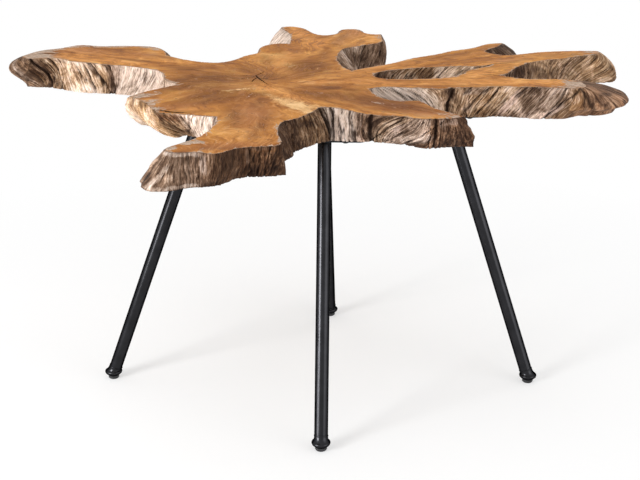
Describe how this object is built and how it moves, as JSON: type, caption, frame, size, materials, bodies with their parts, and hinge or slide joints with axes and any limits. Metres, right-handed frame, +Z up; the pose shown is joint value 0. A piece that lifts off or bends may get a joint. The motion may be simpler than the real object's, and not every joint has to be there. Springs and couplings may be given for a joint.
{
  "type": "live-edge root slab coffee table",
  "caption": "Low table: a thick cross-cut tree-root slab with a star of natural lobes and a slot through it, on splayed round black steel legs with screw-in leveling glides.",
  "frame": {"origin": "on the floor under the centre of the box that the table fills", "axes": "+Z up, -Y towards the side the picture is taken from, +X to the right seen from there"},
  "size_m": [0.9872, 0.8908, 0.45],
  "materials": {
    "root_wood": "sanded and oiled top, raw weathered edge",
    "black_paint": "satin black",
    "screw_zinc": "blackened",
    "insert_steel": "zinc plated",
    "stud_steel": "zinc plated",
    "glide_plastic": "matte"
  },
  "bodies": {
    "table": {"root_slab": "root_wood", "leg_tube_front_left": "black_paint", "bulb_foot_front_left": "black_paint", "mounting_plate_front_left": "black_paint", "plate_screws_front_left": "screw_zinc", "threaded_insert_front_left": "insert_steel", "leg_tube_front": "black_paint", "bulb_foot_front": "black_paint", "mounting_plate_front": "black_paint", "plate_screws_front": "screw_zinc", "threaded_insert_front": "insert_steel", "leg_tube_right": "black_paint", "bulb_foot_right": "black_paint", "mounting_plate_right": "black_paint", "plate_screws_right": "screw_zinc", "threaded_insert_right": "insert_steel", "leg_tube_back": "black_paint", "bulb_foot_back": "black_paint", "mounting_plate_back": "black_paint", "plate_screws_back": "screw_zinc", "threaded_insert_back": "insert_steel"},
    "glide_front_left": {"glide_pad_front_left": "glide_plastic", "glide_stud_front_left": "stud_steel"},
    "glide_front": {"glide_pad_front": "glide_plastic", "glide_stud_front": "stud_steel"},
    "glide_right": {"glide_pad_right": "glide_plastic", "glide_stud_right": "stud_steel"},
    "glide_back": {"glide_pad_back": "glide_plastic", "glide_stud_back": "stud_steel"}
  },
  "joints": [
    {"name": "level_front_left", "type": "slide", "parent": "table", "child": "glide_front_left", "axis": [0, 0, -1], "range_m": [0, 0.008]},
    {"name": "level_front", "type": "slide", "parent": "table", "child": "glide_front", "axis": [0, 0, -1], "range_m": [0, 0.008]},
    {"name": "level_right", "type": "slide", "parent": "table", "child": "glide_right", "axis": [0, 0, -1], "range_m": [0, 0.008]},
    {"name": "level_back", "type": "slide", "parent": "table", "child": "glide_back", "axis": [0, 0, -1], "range_m": [0, 0.008]}
  ]
}
